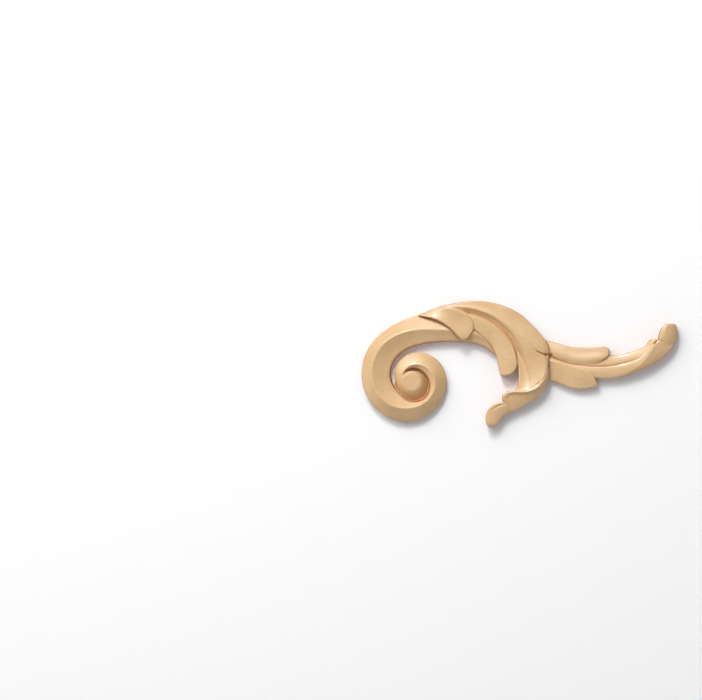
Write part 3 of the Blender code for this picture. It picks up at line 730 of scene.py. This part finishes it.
@dataclass(frozen=True)
class Hardwood:
    """Pale hardwood such as lime or maple, carved, sanded fine and sealed with one thin coat.

    Sanding leaves a soft sheen, the cut fibres show as faint long streaks with a few short dark flecks, and
    the deep cuts are painted a warm red-brown shade that stands in for light bouncing between their walls.
    """

    name: str = "sanded_pale_hardwood"
    pale: str = "#DDB889"
    tan: str = "#D4AC7A"
    streak: str = "#C4965F"
    fleck: str = "#9A6A3A"
    # Painted shade: the warm red-brown that the deep cuts are mixed towards
    crevice_shade: str = "#8E4420"
    streak_width_mm: float = 1.3
    streak_length_mm: float = 45.0
    cloud_mm: float = 24.0
    fleck_width_mm: float = 0.6
    fleck_length_mm: float = 3.5
    bump_depth_mm: float = 0.05
    roughness_low: float = 0.46
    roughness_high: float = 0.58
    seal_weight: float = 0.3
    seal_roughness: float = 0.11
    ior: float = 1.5
    tone_range: tuple[float, float] = (0.35, 0.65)
    streak_range: tuple[float, float] = (0.45, 0.8)
    streak_most: float = 0.4
    fleck_range: tuple[float, float] = (0.68, 0.78)
    fleck_most: float = 0.35
    bump_strength: float = 0.5

    def material(self) -> bpy.types.Material:
        """Makes the finish.

        Returns:
            The material.
        """
        material = bpy.data.materials.new(self.name)
        material.use_nodes = True
        tree = material.node_tree
        shader = tree.nodes["Principled BSDF"]
        place = tree.nodes.new("ShaderNodeTexCoord").outputs["Object"]
        streak_scale = (
            1 / (self.streak_length_mm * MILLIMETRE),
            1 / (self.streak_width_mm * MILLIMETRE),
            1 / (self.streak_width_mm * MILLIMETRE),
        )
        streak_place = add_node(tree, "ShaderNodeMapping", {"Scale": streak_scale}, {"Vector": place})
        streaks = add_node(
            tree,
            "ShaderNodeTexNoise",
            {"Scale": 1.0, "Detail": 3.0, "Roughness": 0.55, "Distortion": 0.3},
            {"Vector": streak_place.outputs["Vector"]},
        )
        clouds = add_node(
            tree,
            "ShaderNodeTexNoise",
            {"Scale": 1 / (self.cloud_mm * MILLIMETRE), "Detail": 2.0},
            {"Vector": place},
        )
        fleck_scale = (
            1 / (self.fleck_length_mm * MILLIMETRE),
            1 / (self.fleck_width_mm * MILLIMETRE),
            1 / (self.fleck_width_mm * MILLIMETRE),
        )
        fleck_place = add_node(tree, "ShaderNodeMapping", {"Scale": fleck_scale}, {"Vector": place})
        flecks = add_node(
            tree,
            "ShaderNodeTexNoise",
            {"Scale": 1.0, "Detail": 1.0},
            {"Vector": fleck_place.outputs["Vector"]},
        )
        tone = add_node(
            tree,
            "ShaderNodeMapRange",
            {"From Min": self.tone_range[0], "From Max": self.tone_range[1]},
            {"Value": clouds.outputs["Fac"]},
        )
        ground = add_node(
            tree,
            "ShaderNodeMix",
            {".data_type": "RGBA", "A": linear(self.pale), "B": linear(self.tan)},
            {"Factor": tone.outputs["Result"]},
        )
        streak_amount = add_node(
            tree,
            "ShaderNodeMapRange",
            {
                "From Min": self.streak_range[0],
                "From Max": self.streak_range[1],
                "To Max": self.streak_most,
            },
            {"Value": streaks.outputs["Fac"]},
        )
        grained = add_node(
            tree,
            "ShaderNodeMix",
            {".data_type": "RGBA", 7: linear(self.streak)},
            {"Factor": streak_amount.outputs["Result"], 6: ground.outputs[2]},
        )
        fleck_amount = add_node(
            tree,
            "ShaderNodeMapRange",
            {
                "From Min": self.fleck_range[0],
                "From Max": self.fleck_range[1],
                "To Max": self.fleck_most,
            },
            {"Value": flecks.outputs["Fac"]},
        )
        flecked = add_node(
            tree,
            "ShaderNodeMix",
            {".data_type": "RGBA", 7: linear(self.fleck)},
            {"Factor": fleck_amount.outputs["Result"], 6: grained.outputs[2]},
        )
        # Painted shade: the deeper a point lies in a cut, the more its colour goes to the red-brown shade
        # colour
        hollow = add_node(tree, "ShaderNodeAttribute", {".attribute_name": Carving.HOLLOW_SHADE}, {})
        coloured = add_node(
            tree,
            "ShaderNodeMix",
            {".data_type": "RGBA", 7: linear(self.crevice_shade)},
            {"Factor": hollow.outputs["Fac"], 6: flecked.outputs[2]},
        )
        tree.links.new(coloured.outputs[2], shader.inputs["Base Color"])
        sheen = add_node(
            tree,
            "ShaderNodeMapRange",
            {"To Min": self.roughness_low, "To Max": self.roughness_high},
            {"Value": streaks.outputs["Fac"]},
        )
        tree.links.new(sheen.outputs["Result"], shader.inputs["Roughness"])
        bump = add_node(
            tree,
            "ShaderNodeBump",
            {"Strength": self.bump_strength, "Distance": self.bump_depth_mm * MILLIMETRE},
            {"Height": streaks.outputs["Fac"]},
        )
        tree.links.new(bump.outputs["Normal"], shader.inputs["Normal"])
        shader.inputs["IOR"].default_value = self.ior
        shader.inputs["Coat Weight"].default_value = self.seal_weight
        shader.inputs["Coat Roughness"].default_value = self.seal_roughness
        return material


# The walls that saw and gouge leave are bare end grain, which looks rough and redder than the face; their
# darker tone is partly that end grain and partly painted shade standing in for the shade on the walls
SAWN_EDGE_PAINTED_SHADE = Hardwood(
    name="end_grain_painted_shade",
    pale="#A8683F",
    tan="#9A5A35",
    streak="#864A2A",
    crevice_shade="#6E3018",
    roughness_low=0.7,
    roughness_high=0.8,
    seal_weight=0.0,
)

# The back is planed flat and left bare, so it is pale and has no sheen
PLANED_BACK = Hardwood(name="planed_pale_hardwood", roughness_low=0.6, roughness_high=0.7, seal_weight=0.0)


@dataclass(frozen=True)
class Carving:
    """The whole onlay: joins its forms into one skin, cuts the lines, saws the back flat and dresses it."""

    # Name of the mesh attribute that carries the painted shade in the cuts
    HOLLOW_SHADE = "hollow"

    pattern: Pattern = field(default_factory=Pattern)
    voxel: float = 0.5
    soften_rounds: int = 3
    soften_share: float = 0.5
    first_foot: float = 3.0
    foot_step: float = 0.15
    most_triangles: int = 190000
    edge_facing: float = -0.3
    back_facing: float = 0.7
    smooth_angle_deg: float = 60.0
    # How the painted shade in the cuts grows with depth
    hollow_rounds: int = 12
    hollow_start_mm: float = 0.05
    hollow_span_mm: float = 0.35
    hollow_most: float = 0.75

    def carve(self, lofts: list[Loft], volute: Volute, lines: list[ToolLine]) -> bpy.types.Object:
        """Models the onlay.

        Args:
            lofts: Every carved form.
            volute: The volute, which adds its eye.
            lines: The lines to cut into the joined surface.

        Returns:
            The onlay's object.
        """
        bodies = [
            loft.body(self.pattern, self.first_foot + i * self.foot_step) for i, loft in enumerate(lofts)
        ]
        bodies.append(volute.eye(self.pattern, self.first_foot + len(lofts) * self.foot_step))
        deselect_all()
        for body in bodies:
            body.select_set(True)
        bpy.context.view_layer.objects.active = bodies[0]
        bpy.ops.object.join()
        item = bpy.context.object
        item.name = "carved_onlay"
        self.melt(item)
        self.cut_lines(item, lines)
        self.saw_back()
        self.thin(item)
        self.paint_hollow_shade(item)
        return item

    def melt(self, item: bpy.types.Object) -> None:
        """Melts the joined bodies into one skin and softens it as sandpaper does.

        Args:
            item: The joined bodies.
        """
        skin = item.modifiers.new("skin", "REMESH")
        skin.mode = "VOXEL"
        skin.voxel_size = self.voxel * MILLIMETRE
        bpy.ops.object.modifier_apply(modifier=skin.name)
        soften = item.modifiers.new("soften", "SMOOTH")
        soften.factor = self.soften_share
        soften.iterations = self.soften_rounds
        bpy.ops.object.modifier_apply(modifier=soften.name)

    def cut_lines(self, item: bpy.types.Object, lines: list[ToolLine]) -> None:
        """Sinks every tool line into the skin's front.

        Args:
            item: The skin.
            lines: The tool lines.
        """
        places = self.places(item)
        plan = np.stack(
            [
                places[:, 0] / self.pattern.square() + self.pattern.mount_x,
                places[:, 2] / self.pattern.square() + self.pattern.mount_z,
            ],
            axis=1,
        )
        front = places[:, 1] < 0
        for line in lines:
            places[front, 1] += line.sink(plan[front]) * self.pattern.rise()
        item.data.vertices.foreach_set("co", places.ravel())
        item.data.update()

    def saw_back(self) -> None:
        """Cuts the active object, the skin, off flat at the back plane and closes it."""
        bpy.ops.object.mode_set(mode="EDIT")
        bpy.ops.mesh.select_all(action="SELECT")
        bpy.ops.mesh.bisect(plane_co=(0, 0, 0), plane_no=(0, 1, 0), use_fill=True, clear_outer=True)
        bpy.ops.object.mode_set(mode="OBJECT")

    def thin(self, item: bpy.types.Object) -> None:
        """Thins the mesh to its allowance, least where it bends most.

        Args:
            item: The skin.
        """
        triangles = sum(len(face.vertices) - 2 for face in item.data.polygons)
        log.info("skin: %d triangles", triangles)
        if triangles > self.most_triangles:
            thinner = item.modifiers.new("thinner", "DECIMATE")
            thinner.ratio = self.most_triangles / triangles
            bpy.ops.object.modifier_apply(modifier=thinner.name)

    def dress(self, item: bpy.types.Object, face: Hardwood, edge: Hardwood, back: Hardwood) -> None:
        """Gives the carved face, the walls round it and the back their finishes.

        Args:
            item: The onlay.
            face: The finish of all that faces the room.
            edge: The finish of the upright walls, darker partly as painted shade.
            back: The finish of the flat back.
        """
        item.data.materials.clear()
        for finish in (face, edge, back):
            item.data.materials.append(finish.material())
        normals = np.empty(len(item.data.polygons) * 3)
        item.data.polygons.foreach_get("normal", normals)
        facing = normals.reshape(-1, 3)[:, 1]
        # Faces turned sideways get the walls' finish, whose darker tone is partly painted shade
        slots = np.digitize(facing, (self.edge_facing, self.back_facing)).astype(np.int32)
        item.data.polygons.foreach_set("material_index", slots)

    def places(self, item: bpy.types.Object) -> np.ndarray:
        """Reads the mesh's vertex places.

        Args:
            item: The object whose mesh is read.

        Returns:
            The places, one row each.
        """
        places = np.empty(len(item.data.vertices) * 3)
        item.data.vertices.foreach_get("co", places)
        return places.reshape(-1, 3)

    def paint_hollow_shade(self, item: bpy.types.Object) -> None:
        """Writes how much painted shade each point gets from how deep it lies in a cut, as an attribute of
        the mesh, nought on open faces.

        Args:
            item: The onlay.
        """
        mesh = item.data
        places = self.places(item)
        ends = np.empty(len(mesh.edges) * 2, dtype=np.int64)
        mesh.edges.foreach_get("vertices", ends)
        ends = ends.reshape(-1, 2)
        count = np.bincount(ends.ravel(), minlength=len(places))
        normals = np.empty(len(mesh.vertices) * 3)
        mesh.vertices.foreach_get("normal", normals)
        normals = normals.reshape(-1, 3)
        soft = places.copy()
        for _ in range(self.hollow_rounds):
            total = np.stack(
                [
                    np.bincount(ends[:, 0], soft[ends[:, 1], axis], len(places))
                    + np.bincount(ends[:, 1], soft[ends[:, 0], axis], len(places))
                    for axis in range(3)
                ],
                axis=1,
            )
            soft = (soft + total / count[:, None]) / 2
        depth = np.sum((soft - places) * normals, axis=1) / MILLIMETRE
        amount = np.clip((depth - self.hollow_start_mm) / self.hollow_span_mm, 0, 1) * self.hollow_most
        layer = mesh.attributes.new(self.HOLLOW_SHADE, "FLOAT", "POINT")
        layer.data.foreach_set("value", amount)


@dataclass(frozen=True)
class SoftBox:
    """A round softbox, placed by its angle round the face, its angle off the back and its distance.

    One that is gloss_only makes highlights and lights nothing else.
    """

    name: str
    azimuth: float
    elevation: float
    distance: float
    size: float
    power: float
    gloss_only: bool = False

    def hang(self, target: Vector) -> None:
        """Hangs the softbox facing the target, out of the camera's sight.

        Args:
            target: The point that it faces.
        """
        turn = math.radians(self.azimuth)
        lift = math.radians(self.elevation)
        side = math.cos(lift)
        towards = Vector((math.cos(turn) * side, -math.sin(lift), math.sin(turn) * side))
        bpy.ops.object.light_add(type="AREA", location=target + towards * self.distance)
        lamp = bpy.context.object
        lamp.name = self.name
        lamp.rotation_euler = towards.to_track_quat("Z", "Y").to_euler()
        lamp.data.shape = "DISK"
        lamp.data.size = self.size
        lamp.data.energy = self.power
        lamp.visible_camera = False
        lamp.visible_diffuse = not self.gloss_only


@dataclass(frozen=True)
class Studio:
    """The camera at the photograph's viewing angle, the lights, and the pale backdrop and floor."""

    picture_width: int = 702
    picture_height: int = 700
    sheet_left_px: float = 360.0
    sheet_bottom_px: float = 430.0
    lens_mm: float = 300.0
    sensor_mm: float = 36.0
    key: SoftBox = SoftBox("key", azimuth=106, elevation=42, distance=3, size=0.8, power=34)
    overhead: SoftBox = SoftBox("overhead", azimuth=130, elevation=38, distance=3, size=2.8, power=60)
    glint: SoftBox = SoftBox(
        "glint", azimuth=106, elevation=50, distance=3, size=0.4, power=130, gloss_only=True
    )
    behind: SoftBox = SoftBox("behind", azimuth=115, elevation=-60, distance=3, size=2.2, power=60)
    sky: float = 0.41
    room_radius: float = 25.0
    wall_gap_mm: float = 0.3
    wall_reach: float = 1.6
    floor_z: float = -0.42
    floor_reach: float = 9.0
    sight: float = 50.0
    paper_colour: str = "#FBFBFC"
    paper_roughness: float = 0.9
    room_colour: str = "#EDEDEE"
    room_sides: int = 48

    def camera(self, pattern: Pattern) -> None:
        """Sets the camera square in front, so that a square of the sheet is a pixel of the picture.

        Args:
            pattern: The pattern sheet.
        """
        square = pattern.square()
        x = (self.picture_width / 2 - self.sheet_left_px - pattern.mount_x) * square
        z = (self.sheet_bottom_px - pattern.mount_z - self.picture_height / 2) * square
        distance = self.picture_width * square * self.lens_mm / self.sensor_mm
        deselect_all()
        bpy.ops.object.camera_add(location=(x, -distance, z), rotation=(math.pi / 2, 0, 0))
        camera = bpy.context.object
        camera.name = "camera"
        camera.data.lens = self.lens_mm
        camera.data.sensor_width = self.sensor_mm
        camera.data.clip_end = self.sight
        bpy.context.scene.camera = camera

    def lights(self) -> None:
        """Adds the key, the wide light above, the glint on the ridges, a light behind and an even sky."""
        low, high = CAD_BOX
        middle = (Vector(low) + Vector(high)) / 2
        for box in (self.key, self.overhead, self.glint, self.behind):
            box.hang(middle)
        world = bpy.data.worlds.new("studio")
        world.use_nodes = True
        background = world.node_tree.nodes["Background"]
        background.inputs["Color"].default_value = (1.0, 1.0, 1.0, 1.0)
        background.inputs["Strength"].default_value = self.sky
        bpy.context.scene.world = world
        bpy.context.scene.view_settings.view_transform = "Standard"

    def paper(self, name: str, one_sided: bool) -> bpy.types.Material:
        """Makes the pale backdrop paper.

        Args:
            name: The material's name.
            one_sided: Whether the paper is clear from behind.

        Returns:
            The material.
        """
        material = bpy.data.materials.new(name)
        material.use_nodes = True
        tree = material.node_tree
        shader = tree.nodes["Principled BSDF"]
        shader.inputs["Base Color"].default_value = linear(self.paper_colour)
        shader.inputs["Roughness"].default_value = self.paper_roughness
        if one_sided:
            side = tree.nodes.new("ShaderNodeNewGeometry").outputs["Backfacing"]
            clear = tree.nodes.new("ShaderNodeBsdfTransparent").outputs["BSDF"]
            mix = add_node(tree, "ShaderNodeMixShader", {}, {0: side, 1: shader.outputs["BSDF"], 2: clear})
            tree.links.new(mix.outputs["Shader"], tree.nodes["Material Output"].inputs["Surface"])
        return material

    def set_out(self) -> None:
        """Sets out the backdrop just behind the onlay's back and the floor below it."""
        deselect_all()
        bpy.ops.mesh.primitive_plane_add(
            size=2 * self.wall_reach,
            location=(0, self.wall_gap_mm * MILLIMETRE, 0),
            rotation=(math.pi / 2, 0, 0),
        )
        wall = bpy.context.object
        wall.name = "backdrop"
        wall.data.materials.append(self.paper("backdrop_paper", True))
        wall.visible_shadow = False
        wall.visible_diffuse = False
        wall.visible_glossy = False
        bpy.ops.mesh.primitive_plane_add(size=2 * self.floor_reach, location=(0, 0, self.floor_z))
        floor = bpy.context.object
        floor.name = "floor"
        floor.data.materials.append(self.paper("floor_paper", False))
        floor.visible_shadow = False
        floor.visible_diffuse = False
        self.room()

    def room(self) -> bpy.types.Object:
        """Models the pale room that other views see beyond the floor: a dome that only cameras see.

        Returns:
            The dome's object.
        """
        bpy.ops.mesh.primitive_uv_sphere_add(
            segments=self.room_sides, ring_count=self.room_sides // 2, radius=self.room_radius
        )
        room = bpy.context.object
        room.name = "room"
        material = bpy.data.materials.new("room_paint")
        material.use_nodes = True
        shader = material.node_tree.nodes["Principled BSDF"]
        shader.inputs["Base Color"].default_value = linear("#000000")
        shader.inputs["Emission Color"].default_value = linear(self.room_colour)
        shader.inputs["Emission Strength"].default_value = 1.0
        room.data.materials.append(material)
        room.visible_diffuse = False
        room.visible_glossy = False
        room.visible_shadow = False
        return room


def main() -> None:
    """Builds the onlay form by form and then the studio round it."""
    logging.basicConfig(level=logging.INFO, format="%(name)s: %(message)s")
    volute = Volute()
    leaf = GreatLeaf()
    blade = Blade()
    tail = Tail()
    lofts = volute.lofts() + leaf.lofts() + blade.lofts() + tail.lofts()
    lines = leaf.lines() + blade.lines() + tail.lines()
    carving = Carving()
    onlay = carving.carve(lofts, volute, lines)
    carving.dress(onlay, Hardwood(), SAWN_EDGE_PAINTED_SHADE, PLANED_BACK)
    bpy.ops.object.shade_smooth_by_angle(angle=math.radians(carving.smooth_angle_deg))
    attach(onlay, "root")
    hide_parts(NODE)
    log.info("%s: %d faces", onlay.name, len(onlay.data.polygons))
    studio = Studio()
    studio.set_out()
    studio.lights()
    studio.camera(carving.pattern)


if __name__ == "__main__":
    main()
